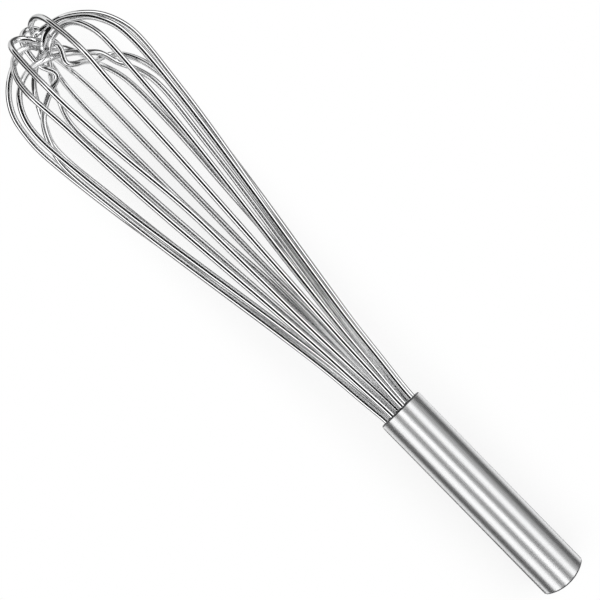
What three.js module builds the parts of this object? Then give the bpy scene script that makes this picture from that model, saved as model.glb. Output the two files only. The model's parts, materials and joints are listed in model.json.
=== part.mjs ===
// A wire whisk with a tube handle: eight loops of wire, tied at the tip by weaving them through each other.
// Lengths are in millimetres. The whisk is made standing on its handle, tip up, and then laid down to rest.
import * as THREE from 'three';

// Handle
const HANDLE_DIAMETER = 20;
const HANDLE_LENGTH = 92;
const HANDLE_WALL = 1;
const MOUTH_LAND = 0.2;
const CROWN_RISE = 2.9;
const CAP_WALL = 1;
const CAP_SKIRT = 8;

// Wire balloon, measured to the middle of the wire
const WIRE_DIAMETER = 2.7;
const BELLY_RADIUS = 29.8;
const BELLY_HEIGHT = 172.5;
const TIP_HEIGHT = 32;

// Resin that holds the wire ends, in two rings of seats
const RESIN_DEPTH = 36;
const RESIN_SETBACK = 1.5;
const RESIN_SKIN = 0.3;
const WIRE_TAIL = 2;

// Clearances
const WEAVE_GAP = 0.3;
const SEAT_GAP = 0.08;
const HANDLE_GAP = 0.2;

// Fineness of the faceted shapes
const WIRE_SIDES = 8;
const ROUND_SIDES = 40;
const BORE_SIDES = 16;
const ARC_STEPS = 6;
const CAP_RINGS = 4;
const STRAND_KNOTS = 5;
const POINT_SPACING = 1.5;
const RING_TURN_DEGREES = 6;
const RING_SPACING = 18;

// Fairing and settling of the weave
const FAIR_PASSES = 40;
const FAIR_RATE = 1 / 16;
const FAIR_WEIGHTS = [1, -4, 6, -4, 1];
const SETTLE_ROUNDS = 400;
const SETTLE_SPREAD = 12;
const SETTLE_RATE = 1.6;
const SETTLE_TOLERANCE = 0.03;
const PUSH_SHARED = 0.5;

// Routes count in steps: across and depth in 76ths of the belly radius, height above the belly in
// 82nds of the tip height. Across runs to the right, depth towards the front.
const STEPS_IN_RADIUS = 76;
const STEPS_IN_TIP = 82;

// Each loop starts in its own seat and ends in the seat opposite, over the waypoints of its route.
const LOOPS = [
  {
    name: 'wire_loop_1',
    route: [
      [-42, 63, 0], [-45, 53, 40], [-43, 40, 60], [-38, 28, 72], [-31, 19, 79], [-22, 13, 82], [-14, 9, 79],
      [-10, 5, 77], [-6, -3, 74], [0, -9, 68], [8, -14, 59], [13, -18, 53], [22, -42, 35], [28, -60, 17],
      [35, -66, -8], [36, -60, -75], [31, -49, -160],
    ],
  },
  {
    name: 'wire_loop_2',
    route: [
      [-8, 27, -310], [-9, 35, -260], [-10, 42, -220], [-12, 52, -155], [-17, 60, -100], [-21, 65, -62],
      [-26, 71, 0], [-27, 67, 30], [-27, 52, 61], [-26, 36, 80], [-25, 28, 88], [-23, 21, 92], [-20, 16, 93],
      [-16, 12, 92], [-11, 9, 88], [-7, 6, 83], [-5, 3, 77], [-2, -3, 72], [-1, -14, 68], [-1, -30, 61],
      [0, -50, 49], [2, -66, 34], [4, -76, 0],
    ],
  },
  {
    name: 'wire_loop_3',
    route: [
      [22, 72, 0], [24, 68, 30], [23, 55, 58], [20, 37, 80], [19, 29, 87], [16, 22, 92], [11, 13, 95],
      [7, 9, 94], [4, 1, 91], [1, -6, 87], [0, -12, 83], [-2, -20, 77], [-6, -40, 63], [-9, -56, 48],
      [-12, -68, 33], [-14, -75, 0], [-13, -68, -72], [-11, -57, -155], [-7, -47, -220], [-4, -40, -260],
      [-2, -33, -310],
    ],
  },
  {
    name: 'wire_loop_4',
    route: [
      [47, 59, 0], [48, 55, 28], [47, 50, 41], [40, 38, 60], [34, 31, 66], [27, 22, 69], [18, 14, 70],
      [8, 7, 69], [4, 3, 66], [0, -1, 62], [-4, -5, 59], [-9, -14, 51], [-16, -26, 45], [-21, -40, 37],
      [-26, -54, 26], [-36, -66, -2],
    ],
  },
  {
    name: 'wire_loop_5',
    route: [
      [67, 35, 0], [65, 33, 32], [60, 31, 44], [54, 27, 55], [45, 22, 63], [35, 17, 71], [25, 13, 75],
      [11, 10, 76], [5, 8, 74], [0, 6, 73], [-4, 3, 71], [-9, -3, 69], [-13, -8, 66], [-24, -19, 58],
      [-37, -36, 47], [-49, -51, 27], [-55, -53, 14], [-64, -41, -10],
    ],
  },
  {
    name: 'wire_loop_6',
    route: [
      [74, -3, 5], [74, -2, 18], [71, -1, 32], [66, 0, 45], [59, 1, 56], [50, 2, 65], [42, 3, 71],
      [33, 4, 76], [16, 4, 80], [4, 3, 80], [-4, -1, 81], [-12, -8, 82], [-28, -8, 79], [-42, -10, 73],
      [-58, -12, 61], [-71, -14, 41], [-76, -16, 17], [-77, -17, -4],
    ],
  },
  {
    name: 'locking_loop',
    fairing: 4,
    route: [
      [65, -22, -50], [62, -36, -19], [59, -42, -8], [51, -52, 6], [43, -56, 14], [33, -51, 22],
      [26, -40, 26], [20, -27, 29], [12, -12, 33], [8, -5, 35], [5, -1, 38], [3, 2, 42], [5, 2, 46],
      [8, 2, 51], [10, 1, 58], [9, -2, 66], [6, -8, 77], [4, -13, 84], [0, -15, 90], [-4, -13, 92],
      [-9, -7, 89], [-11, -3, 82], [-12, -3, 74], [-14, -2, 67], [-16, -1, 58], [-14, 1, 49], [-11, 2, 42],
      [-12, 1, 37], [-20, -1, 34], [-31, -1, 30], [-42, 0, 24], [-50, 2, 18], [-58, 5, 8], [-67, 9, -14],
      [-70, 10, -32],
    ],
  },
  {
    name: 'wire_loop_7',
    route: [
      [55, -45, -34], [49, -55, -9], [44, -56, 5], [38, -50, 17], [32, -41, 27], [26, -33, 33], [21, -24, 39],
      [16, -18, 44], [10, -12, 48], [4, -8, 52], [-1, -3, 55], [-6, 3, 57], [-14, 8, 59], [-25, 15, 61],
      [-41, 26, 57], [-49, 31, 52], [-58, 36, 42], [-64, 36, 30], [-67, 35, 18], [-68, 34, 0],
    ],
  },
];

const HANDLE_RADIUS = HANDLE_DIAMETER / 2;
const BORE_RADIUS = HANDLE_RADIUS - HANDLE_WALL;
const WIRE_RADIUS = WIRE_DIAMETER / 2;
const RESIN_RADIUS = BORE_RADIUS - HANDLE_GAP;
const RESIN_BOTTOM = -RESIN_SETBACK - RESIN_DEPTH;

// An outer seat and the two inner seats beside it are all equally far apart
const SEAT_RADIUS = WIRE_RADIUS + SEAT_GAP;
const SEAT_TURN = Math.PI / LOOPS.length;
const OUTER_SEATS = RESIN_RADIUS - RESIN_SKIN - SEAT_RADIUS;
const INNER_SEATS = OUTER_SEATS / (2 * Math.cos(Math.PI / 3 - SEAT_TURN));

const BRIGHT_WIRE = { color: 0xd9dbdd, metalness: 1, roughness: 0.15 };
const SATIN_TUBE = { color: 0xc8cacc, metalness: 1, roughness: 0.3 };
const GREY_RESIN = { color: 0x74777b, metalness: 0, roughness: 0.6 };

function piece(name, geometry, finish) {
  const mesh = new THREE.Mesh(geometry, new THREE.MeshStandardMaterial(finish));
  mesh.name = name;
  return mesh;
}

// Points of an arc in a turned profile, from one angle to another, in degrees
function arcPoints(centreRadius, centreHeight, radius, fromDegrees, toDegrees) {
  const points = [];
  for (let step = 0; step <= ARC_STEPS; step += 1) {
    const angle = THREE.MathUtils.degToRad(THREE.MathUtils.lerp(fromDegrees, toDegrees, step / ARC_STEPS));
    const across = centreRadius + radius * Math.cos(angle);
    points.push(new THREE.Vector2(across, centreHeight + radius * Math.sin(angle)));
  }
  return points;
}

// A profile of radius and height, turned about the whisk's upright axis
function turned(profile) {
  return new THREE.LatheGeometry(profile, ROUND_SIDES).rotateX(Math.PI / 2);
}

// The handle's end bulges to a crown: a shallow arc across, straight from front to back
function crowned(geometry) {
  const arcRadius = (HANDLE_RADIUS ** 2 + CROWN_RISE ** 2) / (2 * CROWN_RISE);
  const reach = (CAP_WALL + CAP_SKIRT) / 2 - HANDLE_LENGTH;
  const corners = geometry.attributes.position;
  for (let i = 0; i < corners.count; i += 1) {
    if (corners.getZ(i) < reach) {
      const bulge = Math.sqrt(arcRadius ** 2 - corners.getX(i) ** 2) - (arcRadius - CROWN_RISE);
      corners.setZ(i, corners.getZ(i) - bulge);
    }
  }
  return geometry;
}

function handleTube() {
  const mouthRound = HANDLE_WALL - MOUTH_LAND;
  const profile = [
    new THREE.Vector2(BORE_RADIUS, -HANDLE_LENGTH),
    new THREE.Vector2(HANDLE_RADIUS, -HANDLE_LENGTH),
    ...arcPoints(HANDLE_RADIUS - mouthRound, -mouthRound, mouthRound, 0, 90),
    new THREE.Vector2(BORE_RADIUS, 0),
    new THREE.Vector2(BORE_RADIUS, -HANDLE_LENGTH),
  ];
  return piece('handle_tube', crowned(turned(profile)), SATIN_TUBE);
}

// A plate that closes the crowned end flush, with a skirt up the inside of the tube
function endCap() {
  const skirtRadius = BORE_RADIUS - HANDLE_GAP;
  const insideRadius = skirtRadius - CAP_WALL;
  const inside = CAP_WALL - HANDLE_LENGTH;
  const profile = [];
  for (let ring = 0; ring <= CAP_RINGS; ring += 1) {
    profile.push(new THREE.Vector2((skirtRadius * ring) / CAP_RINGS, -HANDLE_LENGTH));
  }
  profile.push(new THREE.Vector2(skirtRadius, CAP_SKIRT - HANDLE_LENGTH));
  profile.push(new THREE.Vector2(insideRadius, CAP_SKIRT - HANDLE_LENGTH));
  for (let ring = CAP_RINGS; ring >= 0; ring -= 1) {
    profile.push(new THREE.Vector2((insideRadius * ring) / CAP_RINGS, inside));
  }
  return piece('end_cap', crowned(turned(profile)), SATIN_TUBE);
}

function circlePoints(centre, radius, sides) {
  const points = [];
  for (let side = 0; side < sides; side += 1) {
    const angle = (2 * Math.PI * side) / sides;
    points.push(new THREE.Vector2(centre.x + radius * Math.cos(angle), centre.y + radius * Math.sin(angle)));
  }
  return points;
}

// Seats go round the mouth in even steps from the first strand's, by turns in the outer and the inner ring
function seatPlace(index) {
  const [across, depth] = LOOPS[0].route[0];
  const angle = Math.atan2(across, depth) + index * SEAT_TURN;
  const radius = index % 2 === 0 ? OUTER_SEATS : INNER_SEATS;
  return new THREE.Vector2(radius * Math.sin(angle), -radius * Math.cos(angle));
}

function resinSeal() {
  const outline = new THREE.Shape(circlePoints(new THREE.Vector2(), RESIN_RADIUS, ROUND_SIDES));
  const cornerRadius = SEAT_RADIUS / Math.cos(Math.PI / BORE_SIDES);
  for (let index = 0; index < 2 * LOOPS.length; index += 1) {
    outline.holes.push(new THREE.Path(circlePoints(seatPlace(index), cornerRadius, BORE_SIDES)));
  }
  const geometry = new THREE.ExtrudeGeometry(outline, { depth: RESIN_DEPTH, bevelEnabled: false });
  return piece('resin_seal', geometry.translate(0, 0, RESIN_BOTTOM), GREY_RESIN);
}

function waypoint([across, depth, height]) {
  const sideStep = BELLY_RADIUS / STEPS_IN_RADIUS;
  const heightStep = TIP_HEIGHT / STEPS_IN_TIP;
  return new THREE.Vector3(across * sideStep, -depth * sideStep, BELLY_HEIGHT + height * heightStep);
}

// A strand leaves its seat at the resin's face and eases outwards to where its loop's route begins
function strandKnots(seat, top) {
  const knots = [];
  for (let knot = 0; knot < STRAND_KNOTS; knot += 1) {
    const share = knot / STRAND_KNOTS;
    const ease = (share + THREE.MathUtils.smoothstep(share, 0, 1)) / 2;
    const place = new THREE.Vector2(top.x, top.y).sub(seat).multiplyScalar(ease).add(seat);
    knots.push(new THREE.Vector3(place.x, place.y, THREE.MathUtils.lerp(-RESIN_SETBACK, top.z, share)));
  }
  return knots;
}

// A springy wire has no sudden changes of bend: its points give way until their fourth differences are small
function faired(points, passes = FAIR_PASSES) {
  for (let pass = 0; pass < passes; pass += 1) {
    const before = points.map((point) => point.clone());
    for (let i = 2; i < points.length - 2; i += 1) {
      const change = new THREE.Vector3();
      FAIR_WEIGHTS.forEach((weight, k) => change.addScaledVector(before[i + k - 2], weight));
      points[i].addScaledVector(change, -FAIR_RATE);
    }
  }
  return points;
}

function loopPoints(loop, index) {
  const route = loop.route.map(waypoint);
  const up = strandKnots(seatPlace(index), route[0]);
  const down = strandKnots(seatPlace(index + LOOPS.length), route[route.length - 1]);
  const curve = new THREE.CatmullRomCurve3([...up, ...route, ...down.reverse()]);
  return faired(curve.getSpacedPoints(Math.round(curve.getLength() / POINT_SPACING)), loop.fairing);
}

// How far each point of two wires has to move so that the wires clear each other, added to their pushes
function addPushes(wire, other, pushes, otherPushes, reach) {
  let worst = 0;
  const between = new THREE.Vector3();
  for (let i = 0; i < wire.length; i += 1) {
    for (let j = 0; j < other.length; j += 1) {
      if (Math.abs(wire[i].z - other[j].z) < reach) {
        between.subVectors(wire[i], other[j]);
        const short = reach - between.length();
        if (short > 0) {
          between.setLength(short / 2);
          pushes[i].add(between);
          otherPushes[j].sub(between);
          worst = Math.max(worst, short);
        }
      }
    }
  }
  return worst;
}

// A wire is springy, so a push on one point spreads to its neighbours and leaves the seated ends alone
function bend(wire, pushes) {
  for (let pass = 0; pass < SETTLE_SPREAD; pass += 1) {
    const before = pushes.map((push) => push.clone());
    for (let i = 1; i < pushes.length - 1; i += 1) {
      const beside = new THREE.Vector3().lerpVectors(before[i - 1], before[i + 1], 0.5);
      pushes[i].lerp(beside, PUSH_SHARED);
    }
  }
  wire.forEach((point, i) => {
    if (point.z > 0) {
      point.addScaledVector(pushes[i], SETTLE_RATE);
    }
  });
}

// Wires that touch push each other aside, a little at a time, until every two are clear
function settle(wires) {
  const reach = WIRE_DIAMETER + WEAVE_GAP;
  let worst = reach;
  for (let round = 0; round < SETTLE_ROUNDS && worst > SETTLE_TOLERANCE; round += 1) {
    const pushes = wires.map((wire) => wire.map(() => new THREE.Vector3()));
    worst = 0;
    for (let a = 0; a < wires.length; a += 1) {
      for (let b = a + 1; b < wires.length; b += 1) {
        worst = Math.max(worst, addPushes(wires[a], wires[b], pushes[a], pushes[b], reach));
      }
    }
    wires.forEach((wire, i) => bend(wire, pushes[i]));
  }
  console.log(`least gap between wires ${(WEAVE_GAP - worst).toFixed(2)} mm`);
}

function buriedEnd(seat) {
  return new THREE.Vector3(seat.x, seat.y, RESIN_BOTTOM - WIRE_TAIL);
}

// Points are kept where the wire has turned enough, or run far enough, since the last one kept
function ringPoints(points) {
  const kept = [buriedEnd(points[0]), points[0]];
  let heading = new THREE.Vector3().subVectors(points[1], points[0]);
  for (let i = 1; i < points.length - 1; i += 1) {
    const ahead = new THREE.Vector3().subVectors(points[i + 1], points[i]);
    const turn = THREE.MathUtils.radToDeg(heading.angleTo(ahead));
    if (turn > RING_TURN_DEGREES || points[i].distanceTo(kept[kept.length - 1]) > RING_SPACING) {
      kept.push(points[i]);
      heading = ahead;
    }
  }
  const last = points[points.length - 1];
  kept.push(last, buriedEnd(last));
  return kept;
}

// A curve whose even steps are its own points, however far apart they lie
class PointCurve extends THREE.CatmullRomCurve3 {
  getUtoTmapping(share) {
    return share;
  }
}

function wireLoop(name, points) {
  const rings = ringPoints(points);
  const section = new THREE.Shape(circlePoints(new THREE.Vector2(), WIRE_RADIUS, WIRE_SIDES));
  const settings = { steps: rings.length - 1, extrudePath: new PointCurve(rings), bevelEnabled: false };
  return piece(name, new THREE.ExtrudeGeometry(section, settings), BRIGHT_WIRE);
}

const wires = LOOPS.map(loopPoints);
settle(wires);
const loops = LOOPS.map((loop, index) => wireLoop(loop.name, wires[index]));

// The whisk standing on its handle, with its front towards -Y
const whisk = new THREE.Group();
whisk.add(handleTube(), endCap(), resinSeal(), ...loops);

// Rolled about its axis so that the two rearmost strands lie level
const rearmost = wires.map((wire) => wire.reduce((far, point) => (point.y > far.y ? point : far)));
const [first, second] = rearmost.sort((a, b) => b.y - a.y);
const [left, right] = first.x < second.x ? [first, second] : [second, first];
whisk.rotation.z = -Math.atan2(right.y - left.y, right.x - left.x);

// Laid on its back with its tip towards -X, front up
const laid = new THREE.Group();
laid.add(whisk);
laid.setRotationFromMatrix(
  new THREE.Matrix4().makeBasis(
    new THREE.Vector3(0, 1, 0),
    new THREE.Vector3(0, 0, -1),
    new THREE.Vector3(-1, 0, 0),
  ),
);

// Tilted until the balloon and the handle's end rest on one level
const heel = new THREE.Vector3(HANDLE_LENGTH + CROWN_RISE, 0, -HANDLE_RADIUS);
laid.updateMatrixWorld(true);
let tilt = 0;
for (const loop of loops) {
  const corners = loop.geometry.attributes.position;
  for (let i = 0; i < corners.count; i += 1) {
    const corner = new THREE.Vector3().fromBufferAttribute(corners, i).applyMatrix4(loop.matrixWorld);
    tilt = Math.max(tilt, Math.atan2(heel.z - corner.z, heel.x - corner.x));
  }
}
const resting = new THREE.Group();
resting.add(laid);
resting.rotation.y = tilt;

// The origin is on the surface that the whisk lies on, under the middle of its outline
const part = new THREE.Group();
part.add(resting);
const outline = new THREE.Box3().setFromObject(part, true);
const middle = outline.getCenter(new THREE.Vector3());
resting.position.set(-middle.x, -middle.y, -outline.min.z);

export default part;
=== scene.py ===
import json
import math

import bmesh
import bpy
import numpy as np
from mathutils import Matrix, Vector


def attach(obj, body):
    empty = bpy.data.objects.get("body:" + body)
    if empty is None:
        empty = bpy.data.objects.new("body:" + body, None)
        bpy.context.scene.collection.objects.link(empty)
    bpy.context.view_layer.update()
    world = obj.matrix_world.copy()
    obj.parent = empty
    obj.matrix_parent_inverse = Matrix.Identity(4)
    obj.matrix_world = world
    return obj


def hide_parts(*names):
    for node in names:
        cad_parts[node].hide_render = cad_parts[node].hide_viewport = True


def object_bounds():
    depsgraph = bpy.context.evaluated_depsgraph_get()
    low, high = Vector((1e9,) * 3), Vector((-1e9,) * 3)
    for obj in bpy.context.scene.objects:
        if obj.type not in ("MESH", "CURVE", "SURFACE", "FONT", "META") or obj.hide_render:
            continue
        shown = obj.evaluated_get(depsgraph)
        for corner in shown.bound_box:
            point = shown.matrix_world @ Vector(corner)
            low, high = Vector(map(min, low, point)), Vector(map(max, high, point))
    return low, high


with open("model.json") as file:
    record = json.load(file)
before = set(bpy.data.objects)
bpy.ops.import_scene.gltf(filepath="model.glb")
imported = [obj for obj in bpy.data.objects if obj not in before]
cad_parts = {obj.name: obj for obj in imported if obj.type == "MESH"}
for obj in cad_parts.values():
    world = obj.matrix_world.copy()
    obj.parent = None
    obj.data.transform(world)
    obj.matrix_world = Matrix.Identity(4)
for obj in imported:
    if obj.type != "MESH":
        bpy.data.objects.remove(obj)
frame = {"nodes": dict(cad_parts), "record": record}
cad_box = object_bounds()

# Line of the handle
# The whisk is built round the line of its plain round handle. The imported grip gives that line: its middle,
# its direction towards the handle's end, and the handle's radius and length.
MM_IN_METRE = 1000
grip = frame["record"]["mounts"][0]
HANDLE_LINE = Vector(grip["axis"]).normalized()
HANDLE_RADIUS = grip["dims"]["r_mm"] / MM_IN_METRE
HANDLE_LENGTH = grip["dims"]["length_mm"] / MM_IN_METRE
MOUTH = Vector(grip["pos_m"]) - HANDLE_LINE * HANDLE_LENGTH / 2

# Wire loops
# Eight lengths of hard stainless wire, drawn round and polished bright. Each is bent into one long loop.
# Seven of them pass through the eye of the eighth at the tip, and all the ends are set in the handle.
WIRE_SIDES = 32
WIRE_STEP = 0.0006
SET_KNOTS = 8
SAME_PLACE = 1e-6
# A set end's face looks along the handle's line at least this nearly
SQUARE_ON = 0.99
# Radius of the round wire, as a share of the corner radius of its solid, which has few sides
ROUND_SHARE = 0.94
WIRE_COLOUR = (0.86, 0.862, 0.865, 1)
WIRE_GLOSS = (0.03, 0.09)
WIRE_RELIEF = 0.03
# Die lines in a metre round the wire, and how many times a line changes in a metre along it
LINES_ROUND = 6000
LINES_ALONG = 40
LINE_DEPTH = 0.00002


def ring_middles(node):
    """Middles of the rings of corners of a loop's solid, from one set end to the other, and their radius."""
    solid = bmesh.new()
    solid.from_mesh(frame["nodes"][node].data)
    bmesh.ops.remove_doubles(solid, verts=solid.verts, dist=SAME_PLACE)
    solid.verts.index_update()

    def end_faces(corner):
        return {face for face in corner.link_faces if face.normal.dot(HANDLE_LINE) > SQUARE_ON}

    ring = set()
    faces = end_faces(max(solid.verts, key=lambda corner: corner.co.dot(HANDLE_LINE)))
    while faces:
        fresh = [corner for corner in faces.pop().verts if corner not in ring]
        ring.update(fresh)
        for corner in fresh:
            faces |= end_faces(corner)
    seen = set(ring)
    middles = []
    while ring:
        # A fixed order of the corners, so that their sum is rounded alike in every run
        places = [corner.co for corner in sorted(ring, key=lambda corner: corner.index)]
        middles.append(sum(places, Vector()) / len(places))
        radius = (places[0] - middles[-1]).length
        beside = {edge.other_vert(corner) for corner in ring for edge in corner.link_edges}
        ring = beside - seen
        seen |= ring
    solid.free()
    return np.array(middles), radius


def springy_line(knots, step):
    """Points at even steps on the line of least bend through the knots, straight in the set ends."""
    ends = np.linspace(0, 1, SET_KNOTS, endpoint=False)[:, None]
    foot = knots[0] + ends * (knots[1] - knots[0])
    head = knots[-1] + ends * (knots[-2] - knots[-1])
    knots = np.concatenate((foot, knots[1:-1], head[::-1]))
    gaps = np.linalg.norm(np.diff(knots, axis=0), axis=1)
    run = np.concatenate(([0], np.cumsum(gaps)))
    slopes = np.diff(knots, axis=0) / gaps[:, None]
    system = np.eye(len(knots))
    change = np.zeros_like(knots)
    for i in range(1, len(knots) - 1):
        system[i, i - 1 : i + 2] = gaps[i - 1], 2 * (gaps[i - 1] + gaps[i]), gaps[i]
        change[i] = 6 * (slopes[i] - slopes[i - 1])
    bend = np.linalg.solve(system, change)
    places = np.linspace(0, run[-1], round(run[-1] / step))
    before = np.clip(np.searchsorted(run, places, side="right") - 1, 0, len(gaps) - 1)
    after = before + 1
    gap = gaps[before][:, None]
    done = places[:, None] - run[before][:, None]
    left = gap - done
    curved = (bend[before] * left**3 + bend[after] * done**3) / (6 * gap)
    from_before = (knots[before] / gap - bend[before] * gap / 6) * left
    from_after = (knots[after] / gap - bend[after] * gap / 6) * done
    return curved + from_before + from_after


def add_object(name, data):
    """A new object in the scene, at its origin."""
    thing = bpy.data.objects.new(name, data)
    bpy.context.collection.objects.link(thing)
    return thing


def add_node(tree, kind, **settings):
    """A new node of a tree, with its settings."""
    node = tree.nodes.new(kind)
    for name, value in settings.items():
        setattr(node, name, value)
    return node


def join(tree, *links):
    """Links nodes, each link given as a node, its output, the next node and its input."""
    for source, output, target, entry in links:
        tree.links.new(source.outputs[output], target.inputs[entry])


def drawn_wire():
    """A tree that draws a round wire along a chain of points, and notes each place along and round it."""
    tree = bpy.data.node_groups.new("drawn_wire", "GeometryNodeTree")
    for name, kind in (
        ("Path", "Geometry"),
        ("Wire radius", "Float"),
        ("Sides", "Int"),
        ("Finish", "Material"),
    ):
        tree.interface.new_socket(name, in_out="INPUT", socket_type="NodeSocket" + kind)
    tree.interface.new_socket("Wire", in_out="OUTPUT", socket_type="NodeSocketGeometry")
    given = add_node(tree, "NodeGroupInput")
    result = add_node(tree, "NodeGroupOutput")
    chain = add_node(tree, "GeometryNodeMeshToCurve")
    place = add_node(tree, "GeometryNodeSplineParameter")
    along = add_node(tree, "GeometryNodeStoreNamedAttribute", data_type="FLOAT", domain="POINT")
    along.inputs["Name"].default_value = "along"
    circle = add_node(tree, "GeometryNodeCurvePrimitiveCircle")
    spot = add_node(tree, "GeometryNodeInputPosition")
    section = add_node(tree, "GeometryNodeStoreNamedAttribute", data_type="FLOAT_VECTOR", domain="POINT")
    section.inputs["Name"].default_value = "section"
    sweep = add_node(tree, "GeometryNodeCurveToMesh")
    sweep.inputs["Fill Caps"].default_value = True
    shade = add_node(tree, "GeometryNodeSetShadeSmooth")
    whole = add_node(tree, "GeometryNodeRealizeInstances")
    finish = add_node(tree, "GeometryNodeSetMaterial")
    join(
        tree,
        (given, "Path", chain, "Mesh"),
        (chain, "Curve", along, "Geometry"),
        (place, "Length", along, "Value"),
        (given, "Sides", circle, "Resolution"),
        (given, "Wire radius", circle, "Radius"),
        (circle, "Curve", section, "Geometry"),
        (spot, "Position", section, "Value"),
        (along, "Geometry", sweep, "Curve"),
        (section, "Geometry", sweep, "Profile Curve"),
        (sweep, "Mesh", shade, "Geometry"),
        (shade, "Geometry", whole, "Geometry"),
        (whole, "Geometry", finish, "Geometry"),
        (given, "Finish", finish, "Material"),
        (finish, "Geometry", result, "Wire"),
    )
    return tree


def bare_steel(name, colour):
    """A new metal of one colour, with the tree and the shader that its finish is added to."""
    material = bpy.data.materials.new(name)
    material.use_nodes = True
    shader = material.node_tree.nodes["Principled BSDF"]
    shader.inputs["Base Color"].default_value = colour
    shader.inputs["Metallic"].default_value = 1
    return material, material.node_tree, shader


def add_gloss(tree, shader, pattern, limits):
    """Lets a pattern vary the roughness between two limits."""
    gloss = add_node(tree, "ShaderNodeMapRange")
    gloss.inputs["To Min"].default_value = limits[0]
    gloss.inputs["To Max"].default_value = limits[1]
    join(
        tree,
        (pattern, "Fac", gloss, "Value"),
        (gloss, "Result", shader, "Roughness"),
    )


def add_relief(tree, shader, pattern, strength):
    """Lets a pattern stand out from the surface a little."""
    bump = add_node(tree, "ShaderNodeBump")
    bump.inputs["Strength"].default_value = strength
    bump.inputs["Distance"].default_value = LINE_DEPTH
    join(
        tree,
        (pattern, "Fac", bump, "Height"),
        (bump, "Normal", shader, "Normal"),
    )


def polished_wire():
    """Bright drawn steel: a near mirror with the faint lengthwise lines that the die leaves."""
    material, tree, shader = bare_steel("polished_wire", WIRE_COLOUR)
    section = add_node(tree, "ShaderNodeAttribute", attribute_name="section")
    along = add_node(tree, "ShaderNodeAttribute", attribute_name="along")
    spread = add_node(tree, "ShaderNodeVectorMath", operation="SCALE")
    spread.inputs["Scale"].default_value = LINES_ROUND
    stretch = add_node(tree, "ShaderNodeCombineXYZ")
    slow = add_node(tree, "ShaderNodeMath", operation="MULTIPLY")
    slow.inputs[1].default_value = LINES_ALONG
    where = add_node(tree, "ShaderNodeVectorMath", operation="ADD")
    lines = add_node(tree, "ShaderNodeTexNoise")
    lines.inputs["Scale"].default_value = 1
    join(
        tree,
        (section, "Vector", spread, "Vector"),
        (along, "Fac", slow, 0),
        (slow, 0, stretch, "Z"),
        (spread, "Vector", where, 0),
        (stretch, "Vector", where, 1),
        (where, "Vector", lines, "Vector"),
    )
    add_gloss(tree, shader, lines, WIRE_GLOSS)
    add_relief(tree, shader, lines, WIRE_RELIEF)
    return material


def set_inputs(modifier, values):
    """Sets a modifier's inputs by the identifiers of their sockets."""
    for item in modifier.node_group.interface.items_tree:
        if item.name in values:
            modifier[item.identifier] = values[item.name]


def wire_piece(node, tree, finish):
    """One round, polished loop on the line of its solid."""
    middles, radius = ring_middles(node)
    points = springy_line(middles, WIRE_STEP)
    path = bpy.data.meshes.new(node + "_path")
    path.from_pydata(points, [(i, i + 1) for i in range(len(points) - 1)], [])
    piece = add_object("polished_" + node, path)
    modifier = piece.modifiers.new("drawn_wire", "NODES")
    modifier.node_group = tree
    sizes = {"Wire radius": radius * ROUND_SHARE, "Sides": WIRE_SIDES}
    set_inputs(modifier, {**sizes, "Finish": finish})
    seen = piece.evaluated_get(bpy.context.evaluated_depsgraph_get())
    piece.data = bpy.data.meshes.new_from_object(seen)
    piece.modifiers.clear()
    bpy.data.meshes.remove(path)
    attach(piece, "root")
    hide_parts(node)
    return piece


wire_tree = drawn_wire()
wire_finish = polished_wire()
loops = [name for name in sorted(frame["nodes"]) if "loop" in name]
wires = [wire_piece(name, wire_tree, wire_finish) for name in loops]

# Handle tube
# A length of round stainless tube with a bevelled mouth. Its far end is cut to a shallow crown. The tube is
# polished lengthwise to a satin finish.
TUBE_SIDES = 160
TUBE_WALL = 0.001
MOUTH_BEVEL = 0.00055
END_BEVEL = 0.0005
CROWN_RISE = 0.0029
CROWN_ZONE = 0.002
RING_STEP = 0.004
SHARP = math.radians(25)
# A bevel's faces look along the handle's line more nearly than the first share, and less than the second
BEVEL_SLOPE = (0.5, 0.9)
STEEL_COLOUR = (0.78, 0.783, 0.787, 1)
STEEL_GLOSS = (0.24, 0.32)
STEEL_RELIEF = 0.05
# Length, width and depth of a hair line of the satin finish
HAIR_LINE = (0.02, 0.0002, 0.0002)
HAIR_DETAIL = 3
# Painted shade: the bevels are coloured near black to draw the dark lines at the mouth and at the end
RIM_SHADE_COLOUR = (0.12, 0.12, 0.125, 1)
CUT_GLOSS = (0.35, 0.6)
# Scratches of the file in a metre
CUT_SCRATCHES = 4000
# The front, which the crown bulges across, is turned a little off the upright
FRONT_TURN = math.radians(-3.724)
UPWARDS = HANDLE_LINE.cross(Vector((0, 1, 0)))
FRONT = Matrix.Rotation(FRONT_TURN, 3, -HANDLE_LINE) @ UPWARDS
ACROSS = FRONT.cross(HANDLE_LINE)


def straight(start, end, step):
    """Points from start to end, at about the given step."""
    count = max(1, round(math.dist(start, end) / step))
    return [tuple(a + (b - a) * i / count for a, b in zip(start, end)) for i in range(count + 1)]


def crown(offset):
    """How far the handle's end bulges at a given offset across it."""
    radius = (HANDLE_RADIUS**2 + CROWN_RISE**2) / (2 * CROWN_RISE)
    return math.sqrt(radius**2 - offset**2) - (radius - CROWN_RISE)


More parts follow.
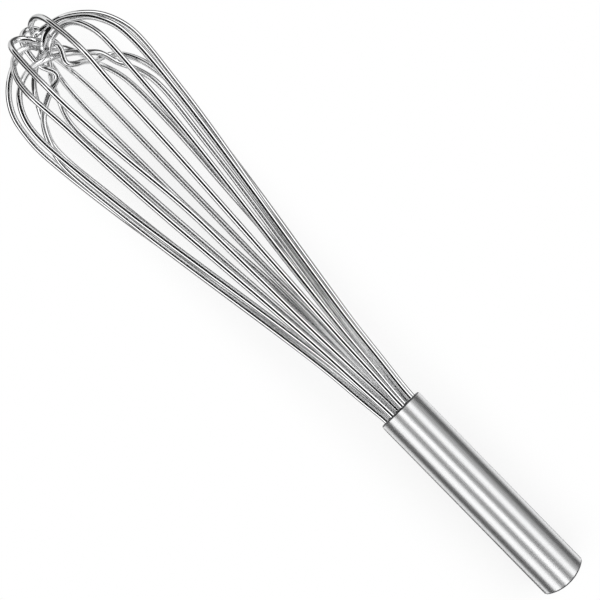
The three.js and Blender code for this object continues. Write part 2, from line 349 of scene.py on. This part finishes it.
def turned(name, profile, finishes):
    """A profile of radius and depth from the mouth, turned round the handle's line and crowned."""
    body = bmesh.new()
    rings = []
    for radius, depth in profile:
        ring = []
        for i in range(TUBE_SIDES if radius > SAME_PLACE else 1):
            angle = 2 * math.pi * i / TUBE_SIDES
            offset = radius * math.sin(angle)
            bulge = crown(offset) if depth > HANDLE_LENGTH - CROWN_ZONE else 0
            below = MOUTH + HANDLE_LINE * (depth + bulge)
            ring.append(body.verts.new(below + ACROSS * offset + FRONT * radius * math.cos(angle)))
        rings.append(ring)
    closed = len(rings[0]) > 1
    for lower, upper in zip(rings, rings[1:] + rings[:1] * closed):
        for i in range(TUBE_SIDES):
            j = (i + 1) % TUBE_SIDES
            corners = [
                lower[i % len(lower)],
                lower[j % len(lower)],
                upper[j % len(upper)],
                upper[i % len(upper)],
            ]
            body.faces.new(dict.fromkeys(corners))
    bmesh.ops.recalc_face_normals(body, faces=body.faces)
    for edge in body.edges:
        edge.smooth = edge.calc_face_angle() < SHARP
    for face in body.faces:
        face.smooth = True
        sloped = BEVEL_SLOPE[0] < abs(face.normal.dot(HANDLE_LINE)) < BEVEL_SLOPE[1]
        middle = face.calc_center_median() - MOUTH
        out = (middle - HANDLE_LINE * middle.dot(HANDLE_LINE)).length
        face.material_index = int(sloped and out > HANDLE_RADIUS - MOUTH_BEVEL)
    mesh = bpy.data.meshes.new(name)
    body.to_mesh(mesh)
    body.free()
    for material in finishes:
        mesh.materials.append(material)
    piece = add_object(name, mesh)
    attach(piece, "root")
    return piece


def satin_steel():
    """Steel rubbed lengthwise with a fine belt: soft reflections and hair lines along the tube."""
    material, tree, shader = bare_steel("satin_steel", STEEL_COLOUR)
    place = add_node(tree, "ShaderNodeTexCoord")
    lengthwise = add_node(tree, "ShaderNodeMapping", vector_type="TEXTURE")
    lengthwise.inputs["Location"].default_value = MOUTH
    lengthwise.inputs["Rotation"].default_value = (0, math.atan2(-HANDLE_LINE.z, HANDLE_LINE.x), 0)
    lengthwise.inputs["Scale"].default_value = HAIR_LINE
    lines = add_node(tree, "ShaderNodeTexNoise")
    lines.inputs["Scale"].default_value = 1
    lines.inputs["Detail"].default_value = HAIR_DETAIL
    join(
        tree,
        (place, "Object", lengthwise, "Vector"),
        (lengthwise, "Vector", lines, "Vector"),
    )
    add_gloss(tree, shader, lines, STEEL_GLOSS)
    add_relief(tree, shader, lines, STEEL_RELIEF)
    return material


def rim_shade_steel():
    """The bevels: dark, dull steel with fine scratches. The near-black colour is painted shade, which draws
    the dark line at each rim.
    """
    material, tree, shader = bare_steel("rim_shade_steel", RIM_SHADE_COLOUR)
    place = add_node(tree, "ShaderNodeTexCoord")
    scratches = add_node(tree, "ShaderNodeTexNoise")
    scratches.inputs["Scale"].default_value = CUT_SCRATCHES
    join(tree, (place, "Object", scratches, "Vector"))
    add_gloss(tree, shader, scratches, CUT_GLOSS)
    return material


satin = satin_steel()
bore = HANDLE_RADIUS - TUBE_WALL
tube = turned(
    "satin_handle_tube",
    straight((HANDLE_RADIUS, MOUTH_BEVEL), (HANDLE_RADIUS, HANDLE_LENGTH - END_BEVEL), RING_STEP)
    + [(HANDLE_RADIUS - END_BEVEL, HANDLE_LENGTH)]
    + straight((bore, HANDLE_LENGTH), (bore, 0), RING_STEP)
    + [(HANDLE_RADIUS - MOUTH_BEVEL, 0)],
    [satin, rim_shade_steel()],
)
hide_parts("handle_tube")

# End cap
# A plate of the same steel, bent to the crown of the tube's end and set flush in it. Its skirt runs up
# inside the tube, and the joint is welded and rubbed down.
CAP_GAP = 0.0001
CAP_WALL = 0.001
CAP_SKIRT = 0.008
skirt = bore - CAP_GAP
cap = turned(
    "satin_end_cap",
    straight((0, HANDLE_LENGTH), (skirt, HANDLE_LENGTH), CAP_WALL)
    + [(skirt, HANDLE_LENGTH - CAP_SKIRT), (skirt - CAP_WALL, HANDLE_LENGTH - CAP_SKIRT)]
    + straight((skirt - CAP_WALL, HANDLE_LENGTH - CAP_WALL), (0, HANDLE_LENGTH - CAP_WALL), CAP_WALL),
    [satin],
)
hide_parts("end_cap")

# Resin
# Grey casting resin poured into the mouth round the wire ends, so that nothing can run into the handle. It
# has a dull skin with faint clouds in it.
RESIN_DARK = (0.16, 0.165, 0.17, 1)
RESIN_LIGHT = (0.24, 0.245, 0.25, 1)
RESIN_ROUGHNESS = 0.55
# Clouds in a metre
RESIN_CLOUDS = 400
resin = bpy.data.materials.new("cast_resin")
resin.use_nodes = True
tree = resin.node_tree
shader = tree.nodes["Principled BSDF"]
shader.inputs["Roughness"].default_value = RESIN_ROUGHNESS
place = add_node(tree, "ShaderNodeTexCoord")
clouds = add_node(tree, "ShaderNodeTexNoise")
clouds.inputs["Scale"].default_value = RESIN_CLOUDS
tint = add_node(tree, "ShaderNodeValToRGB")
tint.color_ramp.elements[0].color = RESIN_DARK
tint.color_ramp.elements[1].color = RESIN_LIGHT
join(
    tree,
    (place, "Object", clouds, "Vector"),
    (clouds, "Fac", tint, "Fac"),
    (tint, "Color", shader, "Base Color"),
)
seal = frame["nodes"]["resin_seal"]
seal.data.materials.clear()
seal.data.materials.append(resin)

# View
# The photograph looks square onto the front of the whisk, which lies across the picture from the upper left
# to the lower right. A long lens far off gives its flat look.
PICTURE = 600
PIXEL = 0.000392
MOUTH_PIXEL = Vector((399.8, 409.0))
SLANT = math.radians(45.632)
CAMERA_DISTANCE = 3.0
CAMERA_SIGHT = 20
right = math.cos(SLANT) * HANDLE_LINE + math.sin(SLANT) * ACROSS
above = -math.sin(SLANT) * HANDLE_LINE + math.cos(SLANT) * ACROSS
shift = (Vector((PICTURE / 2, PICTURE / 2)) - MOUTH_PIXEL) * PIXEL
target = MOUTH + right * shift.x - above * shift.y


def stand(spot, *axes):
    """A place at a spot, with its own three axes along the given ones."""
    return Matrix.Translation(spot) @ Matrix(axes).transposed().to_4x4()


lens = bpy.data.cameras.new("camera")
lens.lens = lens.sensor_width * CAMERA_DISTANCE / (PICTURE * PIXEL)
lens.clip_end = CAMERA_SIGHT
camera = add_object("camera", lens)
camera.matrix_world = stand(target + FRONT * CAMERA_DISTANCE, right, above, FRONT)
bpy.context.scene.camera = camera

# Floor
# A plain white board under the whisk. It shows as white in the picture and in the steel, and keeps a faint
# shadow, which fades out towards its edges.
BOARD_MARGIN = 0.004
BOARD_COLOUR = (0.98, 0.98, 0.98, 1)
SHADOW_SHARE = 0.2
SHADOW_FADE = 0.02
low, high = (Vector(corner) for corner in cad_box)


def fading(tree, axis, middle, half, soft):
    """A share that is 1 round a middle on one axis, and falls softly to 0 at half a size from it."""
    place = add_node(tree, "ShaderNodeTexCoord")
    split = add_node(tree, "ShaderNodeSeparateXYZ")
    off_middle = add_node(tree, "ShaderNodeMath", operation="SUBTRACT")
    off_middle.inputs[1].default_value = middle
    distance = add_node(tree, "ShaderNodeMath", operation="ABSOLUTE")
    fade = add_node(tree, "ShaderNodeMapRange", interpolation_type="SMOOTHSTEP")
    fade.inputs["From Min"].default_value = half - soft
    fade.inputs["From Max"].default_value = half
    fade.inputs["To Min"].default_value = 1
    fade.inputs["To Max"].default_value = 0
    join(
        tree,
        (place, "Object", split, "Vector"),
        (split, axis, off_middle, 0),
        (off_middle, 0, distance, 0),
        (distance, 0, fade, "Value"),
    )
    return fade


def less_than_white(tree, share):
    """White, less a share of what comes into it."""
    rest = add_node(tree, "ShaderNodeMath", operation="MULTIPLY_ADD")
    rest.inputs[1].default_value = -share
    rest.inputs[2].default_value = 1
    return rest


def glowing(name):
    """A new material with a white glow, which is still to be joined to its output, and its tree."""
    material = bpy.data.materials.new(name)
    material.use_nodes = True
    tree = material.node_tree
    tree.nodes.remove(tree.nodes["Principled BSDF"])
    return material, tree, add_node(tree, "ShaderNodeEmission"), tree.nodes["Material Output"]


white, tree, glow, out = glowing("white_board")
matt = add_node(tree, "ShaderNodeBsdfDiffuse")
matt.inputs["Color"].default_value = BOARD_COLOUR
far_x = high.x + BOARD_MARGIN
far_y = high.y + BOARD_MARGIN
fade_x = fading(tree, "X", 0, far_x, SHADOW_FADE)
fade_y = fading(tree, "Y", 0, far_y, SHADOW_FADE)
shadow = add_node(tree, "ShaderNodeMath", operation="MULTIPLY")
white_share = less_than_white(tree, SHADOW_SHARE)
ray = add_node(tree, "ShaderNodeLightPath")
shown = add_node(tree, "ShaderNodeMath", operation="MAXIMUM")
shown_too = add_node(tree, "ShaderNodeMath", operation="MAXIMUM")
share = add_node(tree, "ShaderNodeMath", operation="MULTIPLY")
mix = add_node(tree, "ShaderNodeMixShader")
join(
    tree,
    (fade_x, "Result", shadow, 0),
    (fade_y, "Result", shadow, 1),
    (shadow, 0, white_share, 0),
    (ray, "Is Camera Ray", shown, 0),
    (ray, "Is Glossy Ray", shown, 1),
    (shown, 0, shown_too, 0),
    (ray, "Is Transmission Ray", shown_too, 1),
    (shown_too, 0, share, 0),
    (white_share, 0, share, 1),
    (share, 0, mix, "Fac"),
    (matt, "BSDF", mix, 1),
    (glow, "Emission", mix, 2),
    (mix, "Shader", out, "Surface"),
)
near_x = low.x - BOARD_MARGIN
near_y = low.y - BOARD_MARGIN
board = bpy.data.meshes.new("board")
board.from_pydata(
    [(near_x, near_y, low.z), (far_x, near_y, low.z), (far_x, far_y, low.z), (near_x, far_y, low.z)],
    [],
    [(0, 1, 2, 3)],
)
board.materials.append(white)
floor = add_object("floor", board)

# Light
# The whisk lies in a white tent, among cards that only its steel shows. Black ones over it draw the dark
# lines, others beside and under it draw the outlines, and a pale belt and bowl tone down the white. A dark
# strip on the board under the handle and a dark sheet under the balloon are painted shadow, which the steel
# reflects in place of the board's own shadow.
CARD_DISTANCE = 1.5
CARD_STEPS = 24
CARD_LIFT = 0.0002
STRIP_REACH = (math.radians(-95), math.radians(75))
STRIP_WIDTH = (-0.4, 0.34)
SHEET_WIDTH = (math.radians(-43), math.radians(31))
SHEET_REACH = (-0.8, 0.8)
LEFT_WIDTH = (math.radians(-114), math.radians(-78))
RIGHT_WIDTH = (math.radians(84), math.radians(116))
GREY_WIDTH = (math.radians(60), math.radians(84))
SIDE_REACH = (-1.5, 1.5)
LEFT_LOW_WIDTH = (math.radians(-150), math.radians(-114))
RIGHT_LOW_WIDTH = (math.radians(116), math.radians(150))
LOW_REACH = (-1.5, -0.25)
ALL_ROUND = (0, 2 * math.pi)
BELT_HEIGHT = (-0.3, 0.12)
BOWL_HEIGHT = (-0.98, -0.3)
BOWL_SIZE = 1.6
# Painted shadow: a dark strip lying on the board under the handle, which only the steel shows
HANDLE_SHADOW_REACH = (0, HANDLE_LENGTH)
HANDLE_SHADOW_WIDTH = (-0.0195, 0.0165)
# Painted shadow: a dark sheet lying on the board under the balloon, which only the steel shows
BALLOON_SHADOW_REACH = (-0.185, -0.03)
BALLOON_SHADOW_WIDTH = (-0.045, 0.045)
BALLOON_SHADOW_FADE = 0.04
BLACK = 0.01
LEFT_SHADE = 0.05
RIGHT_SHADE = 0.08
GREY_SHADE = 0.42
BELT_SHADE = 0.85
BOWL_SHADE = 0.65
HANDLE_SHADOW_SHADE = 0.05
BALLOON_SHADOW_SHADE = 0.15
WHITE = (1, 1, 1, 1)
MIDDLE = (low + high) / 2
tent = bpy.data.worlds.new("white_tent")
tent.use_nodes = True
tent.node_tree.nodes["Background"].inputs["Color"].default_value = WHITE
bpy.context.scene.world = tent


def over_the_line(turn, side):
    """A hoop that runs over the whisk from end to end."""
    outward = FRONT * math.cos(turn) + HANDLE_LINE * math.sin(turn) + ACROSS * side
    return MIDDLE + outward * CARD_DISTANCE


def beside_the_line(lean, reach):
    """A curved sheet that runs along the whisk, leaning to its side."""
    outward = FRONT * math.cos(lean) + ACROSS * math.sin(lean) + HANDLE_LINE * reach
    return MIDDLE + outward * CARD_DISTANCE


def round_about(turn, height):
    """A ball round the whisk and its cards, of which a band is used."""
    level = ACROSS * math.cos(turn) + HANDLE_LINE * math.sin(turn)
    outward = FRONT * height + level * math.sqrt(1 - height**2)
    return MIDDLE + outward * BOWL_SIZE * CARD_DISTANCE


def on_the_board(run, side):
    """A sheet that lies on the board, by its run from the mouth towards the handle's end."""
    spot = MOUTH + HANDLE_LINE * run
    return Vector((spot.x, spot.y + side, low.z + CARD_LIFT))


def card(name, surface, first, second, shade):
    """A sheet of card on a surface, which only the steel shows. It gives its tree and its glow."""
    paper, tree, glow, out = glowing(name)
    glow.inputs["Strength"].default_value = shade
    join(tree, (glow, "Emission", out, "Surface"))
    across = np.linspace(*first, CARD_STEPS)
    along = np.linspace(*second, CARD_STEPS)
    corners = [surface(a, b) for a in across for b in along]
    grid = np.arange(len(corners)).reshape(CARD_STEPS, CARD_STEPS)
    faces = np.stack((grid[:-1, :-1], grid[:-1, 1:], grid[1:, 1:], grid[1:, :-1]), axis=-1)
    sheet = bpy.data.meshes.new(name)
    sheet.from_pydata(corners, [], faces.reshape(-1, 4).tolist())
    sheet.materials.append(paper)
    thing = add_object(name, sheet)
    thing.visible_camera = False
    thing.visible_diffuse = False
    thing.visible_shadow = False
    return tree, glow


card("black_strip", over_the_line, STRIP_REACH, STRIP_WIDTH, BLACK)
card("black_sheet", beside_the_line, SHEET_WIDTH, SHEET_REACH, BLACK)
card("left_card", beside_the_line, LEFT_WIDTH, SIDE_REACH, LEFT_SHADE)
card("right_card", beside_the_line, RIGHT_WIDTH, SIDE_REACH, RIGHT_SHADE)
card("grey_card", beside_the_line, GREY_WIDTH, SIDE_REACH, GREY_SHADE)
card("left_low_card", beside_the_line, LEFT_LOW_WIDTH, LOW_REACH, LEFT_SHADE)
card("right_low_card", beside_the_line, RIGHT_LOW_WIDTH, LOW_REACH, RIGHT_SHADE)
card("grey_belt", round_about, ALL_ROUND, BELT_HEIGHT, BELT_SHADE)
card("grey_bowl", round_about, ALL_ROUND, BOWL_HEIGHT, BOWL_SHADE)
# Painted shadow under the handle, which only the steel reflects
card("painted_handle_shadow", on_the_board, HANDLE_SHADOW_REACH, HANDLE_SHADOW_WIDTH, HANDLE_SHADOW_SHADE)
# Painted shadow under the balloon, which only the steel reflects
tree, glow = card("painted_balloon_shadow", on_the_board, BALLOON_SHADOW_REACH, BALLOON_SHADOW_WIDTH, BALLOON_SHADOW_SHADE)

# The painted shadow under the balloon fades to white at its ends
first_end, last_end = (on_the_board(run, 0).x for run in BALLOON_SHADOW_REACH)
fade = fading(tree, "X", (first_end + last_end) / 2, (last_end - first_end) / 2, BALLOON_SHADOW_FADE)
shadow_paleness = less_than_white(tree, 1 - BALLOON_SHADOW_SHADE)
join(
    tree,
    (fade, "Result", shadow_paleness, 0),
    (shadow_paleness, 0, glow, "Strength"),
)

# Long lamps stand over the whisk, each for the handle alone or for the wires alone
LAMP_HEIGHT = 1.0
LAMP_LENGTH = 2.0
handle_pieces = bpy.data.collections.new("handle_pieces")
for piece in (tube, cap):
    handle_pieces.objects.link(piece)
wire_pieces = bpy.data.collections.new("wire_pieces")
for piece in wires:
    wire_pieces.objects.link(piece)
for name, lean_degrees, spread_degrees, brightness, lit in (
    ("strip", 7, 22, 1.4, handle_pieces),
    ("soft", 5, 80, 0.2, handle_pieces),
    ("left_wall", 61, 30, 0.35, handle_pieces),
    ("right_wall", -45, 22, 0.35, handle_pieces),
    ("left_wing", 58, 38, 0.6, wire_pieces),
    ("right_wing", -60, 38, 0.7, wire_pieces),
):
    lamp_data = bpy.data.lights.new(name, "AREA")
    lamp_data.shape = "RECTANGLE"
    lamp_data.size = LAMP_LENGTH
    lamp_data.size_y = 2 * LAMP_HEIGHT * math.tan(math.radians(spread_degrees / 2))
    lamp_data.energy = brightness * math.pi * lamp_data.size * lamp_data.size_y
    towards = Matrix.Rotation(math.radians(lean_degrees), 3, HANDLE_LINE) @ FRONT
    lamp = add_object(name, lamp_data)
    lamp.matrix_world = stand(
        MOUTH + towards * LAMP_HEIGHT, HANDLE_LINE, towards.cross(HANDLE_LINE), towards
    )
    lamp.light_linking.receiver_collection = lit

bpy.context.scene.view_settings.view_transform = "Standard"
